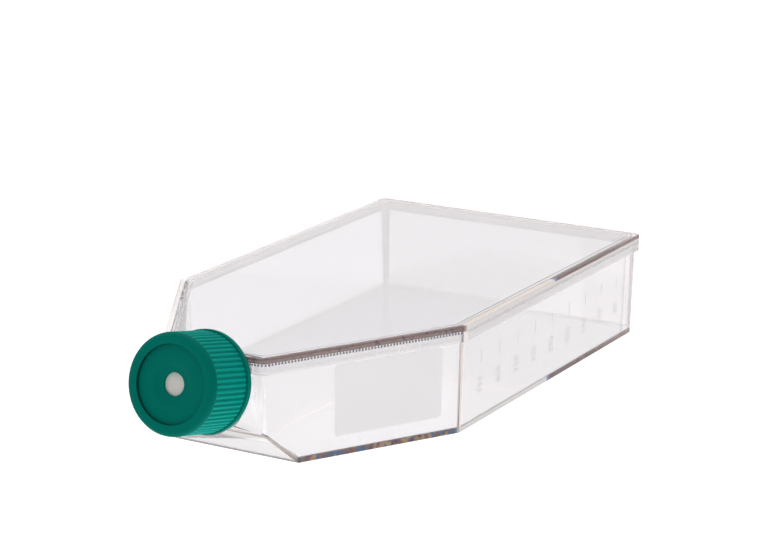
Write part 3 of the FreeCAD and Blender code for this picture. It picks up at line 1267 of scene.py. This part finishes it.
@dataclass(frozen=True)
class Graduations:
    """Moulded volume marks on the near straight wall, to read with the neck upwards."""

    walls: Walls
    finish: MarkPlastic = MarkPlastic("moulded_mark", (0.42, 0.41, 0.43, 1.0), 0.07)
    first_x: float = -23.3 * MM
    pitch: float = 13.1 * MM
    count: int = 9
    top_volume: int = 450
    volume_step: int = 50
    stroke_height: float = 23.1 * MM
    stroke_length: float = 4.8 * MM
    stroke_width: float = 0.17 * MM
    relief: float = 0.06 * MM
    sunk: float = 0.02 * MM
    number_height: float = 13.2 * MM
    number_size: float = 4.2 * MM
    number_turn_deg: float = 90.0
    curve_detail: int = 3
    thinning: float = 0.07 * MM

    def strokes(self, material: Material) -> Mesh:
        """The row of strokes.

        Args:
            material: the finish of the strokes.

        Returns:
            The mesh of all strokes.
        """
        half = (self.count - 1) / 2
        depth = self.relief / 2 - self.sunk
        places = [Vector(((index - half) * self.pitch, 0.0, depth)) for index in range(self.count)]
        mesh = raised_strokes().grow(points_mesh(places), "strokes", {
            "Stroke width": self.stroke_width,
            "Stroke length": self.stroke_length,
            "Relief": self.relief,
            "Material": material,
        })
        mesh.transform(self.walls.near(self.first_x + self.pitch * half, self.stroke_height))
        return mesh

    def number(self, text: str, place: Matrix) -> Mesh:
        """One number, turned to read with the neck upwards.

        Args:
            text: the number.
            place: the wall's frame at its middle.

        Returns:
            Its mesh.
        """
        curve = bpy.data.curves.new("number", "FONT")
        curve.body = text
        curve.size = self.number_size
        curve.align_x = "CENTER"
        curve.align_y = "CENTER"
        curve.resolution_u = self.curve_detail
        curve.extrude = self.relief / 2
        curve.offset = -self.thinning
        mesh = evaluated("number", link("number", curve))
        lift = Matrix.Translation((0.0, 0.0, self.relief / 2 - self.sunk))
        mesh.transform(place @ lift @ Matrix.Rotation(math.radians(self.number_turn_deg), 4, "Z"))
        return mesh

    def build(self) -> None:
        """Build and dress the marks."""
        material = self.finish.build()
        meshes = [self.strokes(material)]
        for index in range(self.count):
            x = self.first_x + index * self.pitch
            volume = self.top_volume - index * self.volume_step
            meshes.append(self.number(str(volume), self.walls.near(x, self.number_height)))
        dress(joined("graduations", meshes), material, Body.FLASK)


@dataclass(frozen=True)
class WeldLine:
    """The row of fine beads where the lid is welded to the rim."""

    # Painted reflection and light: the beads are dark green near the cap and pale beyond the shoulder
    # corner and on the far side.
    finish: MarkPlastic = MarkPlastic(
        "weld_bead", (0.01, 0.04, 0.035, 1.0), 0.85, away_colour=(0.90, 0.86, 0.85, 1.0), away_from=-37 * MM
    )
    pitch: float = 1.15 * MM
    bead_radius: float = 0.38 * MM
    below_seat: float = 0.6 * MM
    flat_angle_deg: float = 0.5

    def outline(self) -> list[Vector]:
        """The lid's outline at the weld, one bead radius inside the lid.

        Returns:
            The points in order.
        """
        height = plate_heights()[0] - self.below_seat
        work = merged("top_plate", math.radians(self.flat_angle_deg))
        upward = [face for face in work.faces if face.normal.z > FACES_UP]
        lid = max(upward, key=lambda face: face.calc_area())
        loop = [Vector((vertex.co.x, vertex.co.y, height)) for vertex in lid.verts]
        work.free()
        inset = []
        for index, place in enumerate(loop):
            run = loop[(index + 1) % len(loop)] - loop[index - 1]
            inset.append(place + UP.cross(run).normalized() * self.bead_radius)
        return inset

    def build(self) -> None:
        """Build and dress the beads."""
        material = self.finish.build()
        mesh = weld_beads().grow(points_mesh(self.outline(), closed=True), "weld_beads", {
            "Pitch": self.pitch,
            "Bead radius": self.bead_radius,
            "Material": material,
        })
        piece = joined("weld_beads", [mesh])
        piece.data.shade_smooth()
        dress(piece, material, Body.FLASK)


# --- cap ---


@dataclass(frozen=True)
class Corner:
    """One corner of a lathe outline.

    Args:
        radius: distance from the axis.
        height: place along the axis.
        rounding: radius of the arc that replaces the corner, or 0 for a sharp one.
        stops: points added evenly on the straight run that leads to the next corner.
    """

    radius: float
    height: float
    rounding: float = 0.0
    stops: int = 0

    def place(self) -> Vector:
        """Return the corner as a point of (radius, height)."""
        return Vector((self.radius, self.height))

    def arc(self, before: "Corner", after: "Corner") -> list[Vector]:
        """Points of the tangent arc that replaces the corner, or the corner itself if it is sharp.

        Args:
            before: the corner before it.
            after: the corner after it.

        Returns:
            Points of (radius, height).
        """
        here = self.place()
        if self.rounding <= 0:
            return [here]
        to_before = (before.place() - here).normalized()
        to_after = (after.place() - here).normalized()
        half = to_before.angle(to_after) / 2
        centre = here + (to_before + to_after).normalized() * (self.rounding / math.sin(half))
        start = here + to_before * (self.rounding / math.tan(half)) - centre
        turn = math.copysign(math.pi - 2 * half, start.y * to_before.x - start.x * to_before.y)
        points = []
        for step in range(ARC_STEPS + 1):
            angle = turn * step / ARC_STEPS
            cosine, sine = math.cos(angle), math.sin(angle)
            spoke = Vector((start.x * cosine - start.y * sine, start.x * sine + start.y * cosine))
            points.append(centre + spoke)
        return points


def rounded_outline(corners: Sequence[Corner]) -> list[Vector]:
    """Round the corners of a closed outline and add the stops between them.

    Args:
        corners: the corners in order.

    Returns:
        Points of (radius, height).
    """
    points: list[Vector] = []
    for index, corner in enumerate(corners):
        after = corners[(index + 1) % len(corners)]
        points.extend(corner.arc(corners[index - 1], after))
        leaving = points[-1]
        for step in range(1, corner.stops + 1):
            points.append(leaving.lerp(after.place(), step / (corner.stops + 1)))
    return points


Ring = list[bmesh.types.BMVert]


def ring_at(work: bmesh.types.BMesh, angle: float, section: Iterable[Sequence[float]]) -> Ring:
    """Add a section of (radius, height) points at an angle about the Z axis."""
    cosine, sine = math.cos(angle), math.sin(angle)
    return [work.verts.new((radius * cosine, radius * sine, height)) for radius, height in section]


def skin_between(work: bmesh.types.BMesh, ring: Ring, following: Ring) -> None:
    """Join two rings by a closed strip of faces.

    Args:
        work: the working mesh.
        ring: the first ring.
        following: the second, with as many corners.
    """
    for index in range(len(ring)):
        after = (index + 1) % len(ring)
        work.faces.new((ring[index], following[index], following[after], ring[after]))


def lathe(name: str, outline: Sequence[Vector], segments: int) -> Mesh:
    """Turn a closed outline of (radius, height) points once round the Z axis.

    Args:
        name: the new mesh's name.
        outline: the points in order.
        segments: how many flats there are to the turn.

    Returns:
        The mesh.
    """
    work = bmesh.new()
    rings = [ring_at(work, math.tau * step / segments, outline) for step in range(segments)]
    for step, ring in enumerate(rings):
        skin_between(work, ring, rings[(step + 1) % segments])
    bmesh.ops.recalc_face_normals(work, faces=work.faces)
    return shaped(name, work)


def grip_ribs() -> GeometrySheet:
    """A tree that presses straight grooves into the skirt of a turned cap.

    Returns:
        The tree's sheet.
    """
    sheet = GeometrySheet("grip ribs")
    count = sheet.size("Rib count", "Int")
    depth, root, crest, crown = sheet.sizes("Groove depth", "Groove share", "Crest from", "Crown")
    low, low_fade, high, fade = sheet.sizes("Low end", "Low fade", "High end", "Run out")
    skirt = sheet.size("Skirt radius")
    position = sheet.node("GeometryNodeInputPosition", {}, {}).outputs["Position"]
    x, y, z = sheet.axes(position)
    radius = x.reach(y)
    turn = sheet.maths("ARCTAN2", y, x) * count / math.tau
    off_groove = abs(sheet.maths("FRACT", turn) - 0.5)
    groove = off_groove.below(root, crest)
    shoulder = 1.0 - off_groove * 2.0
    pressed = (groove + shoulder * shoulder * crown) * depth
    along = z.step(low - low_fade * 2.0, low - low_fade) * z.below(high - fade, high)
    outside = sheet.maths("GREATER_THAN", radius, skirt - depth)
    sunk = (radius - pressed).most(skirt - depth)
    scale = (sunk / radius - 1.0) * along * outside
    parts = {"X": x * scale, "Y": y * scale, "Z": 0.0}
    offset = sheet.node("ShaderNodeCombineXYZ", {}, parts).outputs["Vector"]
    moved = sheet.node("GeometryNodeSetPosition", {}, {"Geometry": sheet.geometry, "Offset": offset})
    sheet.finish(moved.outputs["Geometry"])
    return sheet


@dataclass(frozen=True)
class ScrewCap:
    """The ribbed screw cap: heights are measured outwards from the mouth of the neck."""

    skirt_radius: float = 16.3 * MM
    top: float = 3.0 * MM
    skirt_foot: float = -17.7 * MM
    edge_rounding: float = 1.6 * MM
    recess_radius: float = 12.6 * MM
    recess_depth: float = 1.2 * MM
    dish_radius: float = 7.2 * MM
    dish_rounding: float = 2.0 * MM
    bowl_radius: float = 5.0 * MM
    bowl_depth: float = 0.9 * MM
    bowl_rounding: float = 1.0 * MM
    vent_radius: float = 3.7 * MM
    flange_radius: float = 16.7 * MM
    flange_height: float = 1.9 * MM
    groove_width: float = 0.7 * MM
    rib_count: int = 60
    rib_depth: float = 0.45 * MM
    rib_front_gap: float = 1.9 * MM
    rib_past_front: float = 0.2 * MM
    rib_run_out: float = 0.9 * MM
    rib_low_fade: float = 0.01 * MM
    rib_groove: Span = (0.10, 0.40)
    rib_crown: float = 0.10
    run_out_stops: Span = (0.1 * MM, -1.0 * MM)
    bore_radius: float = 13.95 * MM
    plug_outer_radius: float = 10.7 * MM
    plug_inner_radius: float = 9.7 * MM
    plug_depth: float = 1.8 * MM
    soft_edge: float = 0.25 * MM
    softer_edge: float = 0.35 * MM
    segments: int = 720
    sharp_deg: float = 40.0
    thread_lead: float = 4.0 * MM
    thread_turns: float = 1.6
    thread_depth: float = 1.0 * MM
    thread_root: float = 1.8 * MM
    thread_crest: float = 0.8 * MM
    thread_foot: float = -9.85 * MM
    thread_sink: float = 0.3 * MM
    thread_segments: int = 72
    thread_run_out: int = 6

    def rib_ends(self) -> Span:
        """Heights of both ends of the ribs."""
        return self.skirt_foot + self.flange_height + self.groove_width, self.top - self.rib_front_gap

    def outline(self) -> list[Corner]:
        """The cap's section, from the edge of the vent hole outwards and back underneath.

        Returns:
            The corners in order.
        """
        face = self.top - self.recess_depth
        bowl = face - self.bowl_depth
        core = self.skirt_radius - self.rib_depth
        flange_top = self.skirt_foot + self.flange_height
        ribs_low, ribs_high = self.rib_ends()
        above, below = self.run_out_stops
        soft = self.soft_edge
        return [
            Corner(self.vent_radius, bowl, self.softer_edge),
            Corner(self.bowl_radius, bowl, self.bowl_rounding),
            Corner(self.dish_radius, face, self.dish_rounding),
            Corner(self.recess_radius, face, soft),
            Corner(self.recess_radius, self.top, soft),
            Corner(self.skirt_radius, self.top, self.edge_rounding),
            Corner(self.skirt_radius, ribs_high + above, stops=6),
            Corner(self.skirt_radius, ribs_high + below, stops=3),
            Corner(self.skirt_radius, ribs_low, 0.12 * MM),
            Corner(core, ribs_low, 0.05 * MM),
            Corner(core, flange_top, 0.1 * MM),
            Corner(self.flange_radius, flange_top, soft),
            Corner(self.flange_radius, self.skirt_foot, self.softer_edge),
            Corner(self.bore_radius, self.skirt_foot, soft),
            Corner(self.bore_radius, 0.0, soft),
            Corner(self.plug_outer_radius, 0.0, soft),
            Corner(self.plug_outer_radius, -self.plug_depth, soft),
            Corner(self.plug_inner_radius, -self.plug_depth, soft),
            Corner(self.plug_inner_radius, 0.0, soft),
            Corner(self.vent_radius, 0.0),
        ]

    def ridge(self) -> Mesh:
        """The thread inside the skirt: a swept ridge that runs out into the wall at both ends.

        Returns:
            The mesh.
        """
        work = bmesh.new()
        rings = []
        steps = round(self.thread_segments * self.thread_turns)
        buried = self.bore_radius + self.thread_sink
        for step in range(steps + 1):
            turns = self.thread_turns * step / steps
            height = self.thread_foot + self.thread_lead * turns
            to_end = min(step, steps - step) / self.thread_run_out
            crest = self.bore_radius - self.thread_depth * min(1.0, to_end)
            rings.append(ring_at(work, math.tau * turns, [
                (buried, height - self.thread_root / 2),
                (crest, height - self.thread_crest / 2),
                (crest, height + self.thread_crest / 2),
                (buried, height + self.thread_root / 2),
            ]))
        for ring, following in zip(rings, rings[1:]):
            skin_between(work, ring, following)
        work.faces.new(rings[0])
        work.faces.new(list(reversed(rings[-1])))
        bmesh.ops.recalc_face_normals(work, faces=work.faces)
        return shaped("cap thread", work)

    def build(self, neck: Matrix) -> None:
        """Build and dress the cap.

        Args:
            neck: the frame whose origin is the middle of the mouth and whose Z axis runs out of it.
        """
        green = CapPlastic().build(neck, self)
        turned = lathe("cap turned", rounded_outline(self.outline()), self.segments)
        ribs_low, ribs_high = self.rib_ends()
        skin = grip_ribs().grow(turned, "cap", {
            "Rib count": self.rib_count,
            "Groove depth": self.rib_depth,
            "Groove share": self.rib_groove[0],
            "Crest from": self.rib_groove[1],
            "Crown": self.rib_crown,
            "Low end": ribs_low,
            "Low fade": self.rib_low_fade,
            "High end": ribs_high + self.rib_past_front,
            "Run out": self.rib_run_out,
            "Skirt radius": self.skirt_radius,
            "Material": green,
        })
        piece = joined("cap", [skin, self.ridge()])
        piece.data.transform(neck)
        piece.data.shade_smooth()
        piece.data.set_sharp_from_angle(angle=math.radians(self.sharp_deg))
        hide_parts("cap_shell")
        dress(piece, green, Body.CAP)


def neck_frame() -> Matrix:
    """The frame of the neck, from the cap's screw joint: origin at the mouth, Z axis outwards.

    Returns:
        The frame's matrix.
    """
    joint = next(entry for entry in frame["joints"] if entry["type"] == "hinge")
    turn = Vector(joint["axis"]).to_track_quat("Z", "Y")
    return Matrix.Translation(Vector(joint["pos_m"])) @ turn.to_matrix().to_4x4()


@dataclass(frozen=True)
class VentFilm:
    """The filter film under the vent hole, which keeps the model's shape and body."""

    finish: FilterFilm = FilterFilm()

    def build(self) -> None:
        """Dress the film."""
        film = frame["nodes"]["vent_membrane"]
        film.data.materials.clear()
        film.data.materials.append(self.finish.build())
        log.info("%s keeps its shape", film.name)


# --- clear mouldings ---


@dataclass(frozen=True)
class ClearMouldings:
    """The tub with its neck, and the lid welded on its rim."""

    edge_width: float = 0.22 * MM
    edges_from: float = 6 * MM
    weld_overlap: float = 0.02 * MM
    flat_angle_deg: float = 0.6
    crease_angle_deg: float = 30.0
    floor_glow_height: float = 1.9 * MM
    rim_height: float = 3.7 * MM
    ramp_run: float = 13.0 * MM
    ramp_rise: float = 11.0 * MM
    patch_reach_x: float = 40.8 * MM
    patch_height: float = 18.95 * MM
    patch_width: float = 39.7 * MM
    patch_tall: float = 24.5 * MM
    patch_corner: float = 1.5 * MM

    def copy_of(self, node: str, name: str) -> Object:
        """Copy a moulding of the model under a new name."""
        return link(name, shaped(name, merged(node, math.radians(self.flat_angle_deg))))

    def tub(self) -> Object:
        """Copy the tub and soften the edges of its walls.

        Returns:
            The tub.
        """
        piece = self.copy_of("flask_body", "tub")
        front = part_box("top_plate")[0][0] + self.edges_from
        crease = math.radians(self.crease_angle_deg)
        soften(piece, self.edge_width, crease, lambda middle: middle.x > front)
        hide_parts("flask_body")
        return piece

    def lid(self) -> Object:
        """Copy the lid, sink its underside into the rim as a weld does, and soften its edges.

        Returns:
            The lid.
        """
        piece = self.copy_of("top_plate", "lid")
        seat, _ = plate_heights()
        for vertex in piece.data.vertices:
            if abs(vertex.co.z - seat) < MERGE_DISTANCE * 2:
                vertex.co.z -= self.weld_overlap
        foot = seat - self.weld_overlap * 2
        crease = math.radians(self.crease_angle_deg)
        soften(piece, self.edge_width, crease, lambda middle: middle.z > foot)
        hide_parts("top_plate")
        return piece

    def patch(self, walls: Walls) -> Patch:
        """The frosted patch on the near shoulder wall."""
        place = walls.near(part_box("top_plate")[0][0] + self.patch_reach_x, self.patch_height)
        return Patch(place, self.patch_width, self.patch_tall, self.patch_corner)

    def form(self, walls: Walls) -> Form:
        """Where the parts of both mouldings lie.

        Args:
            walls: the tub's outer walls.

        Returns:
            The places that their material needs.
        """
        seat, top = plate_heights()
        low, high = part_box("top_plate")
        on_rim = walls.near(low[0] + self.patch_reach_x, seat - self.rim_height / 2)
        out = on_rim.to_3x3().col[2]
        return Form(
            floor_top=self.floor_glow_height,
            rim_foot=seat - self.rim_height,
            seat=seat,
            lid_top=top,
            half_width=high[1],
            back_x=high[0],
            shoulder_out=out,
            shoulder_reach=on_rim.to_translation().xy.dot(out.xy),
            ramp_x=low[0] + self.ramp_run,
            ramp_run=self.ramp_run,
            ramp_top=self.ramp_rise,
        )

    def build(self, walls: Walls) -> None:
        """Build and dress both mouldings.

        Args:
            walls: the tub's outer walls.
        """
        form = self.form(walls)
        plain = ClearPlastic().build(form)
        frosted = ClearPlastic().build(form, self.patch(walls))
        dress(self.tub(), frosted, Body.FLASK)
        dress(self.lid(), plain, Body.FLASK)


# --- studio ---


@dataclass(frozen=True)
class Spot:
    """A brighter round part of the floor.

    Args:
        place: its middle.
        radius: full brightness out to here.
        fade: width of the soft border.
        gain: how much brighter than the rest, as a share.
    """

    place: Vector
    radius: float
    fade: float
    gain: float


@dataclass(frozen=True)
class Studio:
    """A white sweep under soft light, and the camera."""

    camera_place: Vector = Vector((-0.7205, -0.4260, 0.2716))
    heading_deg: float = 30.47
    pitch_deg: float = 15.457
    focal_mm: float = 118.2
    sensor_mm: float = 36.0
    farthest: float = 100.0
    floor_size: float = 30.0
    floor_drop: float = 0.02 * MM
    floor_base: Colour = (0.12, 0.12, 0.12, 1.0)
    floor_roughness: float = 0.9
    floor_gloss: float = 0.1
    floor_glow: float = 1.1
    spots: tuple[Spot, ...] = (
        Spot(Vector((-0.072, -0.110, 0.0)), 0.030, 0.040, 0.15),
        Spot(Vector((-0.120, -0.032, 0.0)), 0.012, 0.012, 0.8),
    )
    horizon: float = 0.68
    overhead: float = 1.6
    overhead_border: Span = (0.45, 0.95)
    front_share: float = 0.05
    front_heading_deg: float = 228.0
    front_border: Span = (-0.45, 0.15)

    def camera(self) -> None:
        """Create the camera and make it the scene's own."""
        data = bpy.data.cameras.new("camera")
        data.sensor_width = self.sensor_mm
        data.lens = self.focal_mm
        data.clip_end = self.farthest
        camera = link("camera", data)
        camera.location = self.camera_place
        tip = math.radians(90 - self.pitch_deg)
        turn = math.radians(self.heading_deg - 90)
        camera.rotation_euler = (tip, 0.0, turn)
        bpy.context.scene.camera = camera

    def floor(self) -> None:
        """Lay the pale floor."""
        mesh = bpy.data.meshes.new("floor")
        half = self.floor_size / 2
        corners = [(-half, -half, 0), (half, -half, 0), (half, half, 0), (-half, half, 0)]
        mesh.from_pydata(corners, [], [(0, 1, 2, 3)])
        floor = link("floor", mesh)
        floor.location.z = CAD_BOX[0][2] - self.floor_drop
        sheet = ShaderSheet("floor")
        x, y, _ = sheet.axes(sheet.place())
        peak = 1.0 + max(spot.gain for spot in self.spots)
        bright: Number = 1.0
        for spot in self.spots:
            away = (x - spot.place.x).reach(y - spot.place.y)
            bright = bright + away.below(spot.radius, spot.radius + spot.fade) * spot.gain
        shader = sheet.principled({
            "Base Color": self.floor_base,
            "Roughness": self.floor_roughness,
            "Specular IOR Level": self.floor_gloss,
            "Emission Color": sheet.mixed_colour(bright / peak, BLACK, WHITE),
            "Emission Strength": self.floor_glow * peak,
        })
        mesh.materials.append(sheet.finish(shader))

    def world(self) -> None:
        """Light the scene from all round: brightest overhead, darker in front."""
        world = bpy.data.worlds.new("studio")
        bpy.context.scene.world = world
        world.use_nodes = True
        sheet = NodeSheet(world.node_tree)
        heading = math.radians(self.front_heading_deg)
        towards = (math.cos(heading), math.sin(heading), 0.0)
        direction = sheet.node("ShaderNodeTexCoord", {}, {}).outputs["Generated"]
        settings = {"operation": "DOT_PRODUCT"}
        front = sheet.channel("ShaderNodeVectorMath", settings, {0: direction, 1: towards}, "Value")
        overhead = sheet.axes(direction)[2].step(*self.overhead_border)
        shade = front.step(*self.front_border)
        low_sky = self.horizon * (1.0 - shade * (1.0 - self.front_share))
        strength = low_sky * (1.0 - overhead) + overhead * self.overhead
        background = sheet.tree.nodes["Background"]
        sheet.tree.links.new(strength.socket, background.inputs["Strength"])
        background.inputs["Color"].default_value = WHITE

    def build(self) -> None:
        """Set up the whole studio."""
        self.floor()
        self.world()
        self.camera()
        bpy.context.scene.view_settings.view_transform = "Standard"


def main() -> None:
    """Build every piece and the studio."""
    logging.basicConfig(level=logging.INFO, format="%(name)s: %(message)s")
    walls = Walls()
    ClearMouldings().build(walls)
    WeldLine().build()
    Graduations(walls).build()
    ScrewCap().build(neck_frame())
    VentFilm().build()
    Studio().build()


if __name__ == "__main__":
    main()
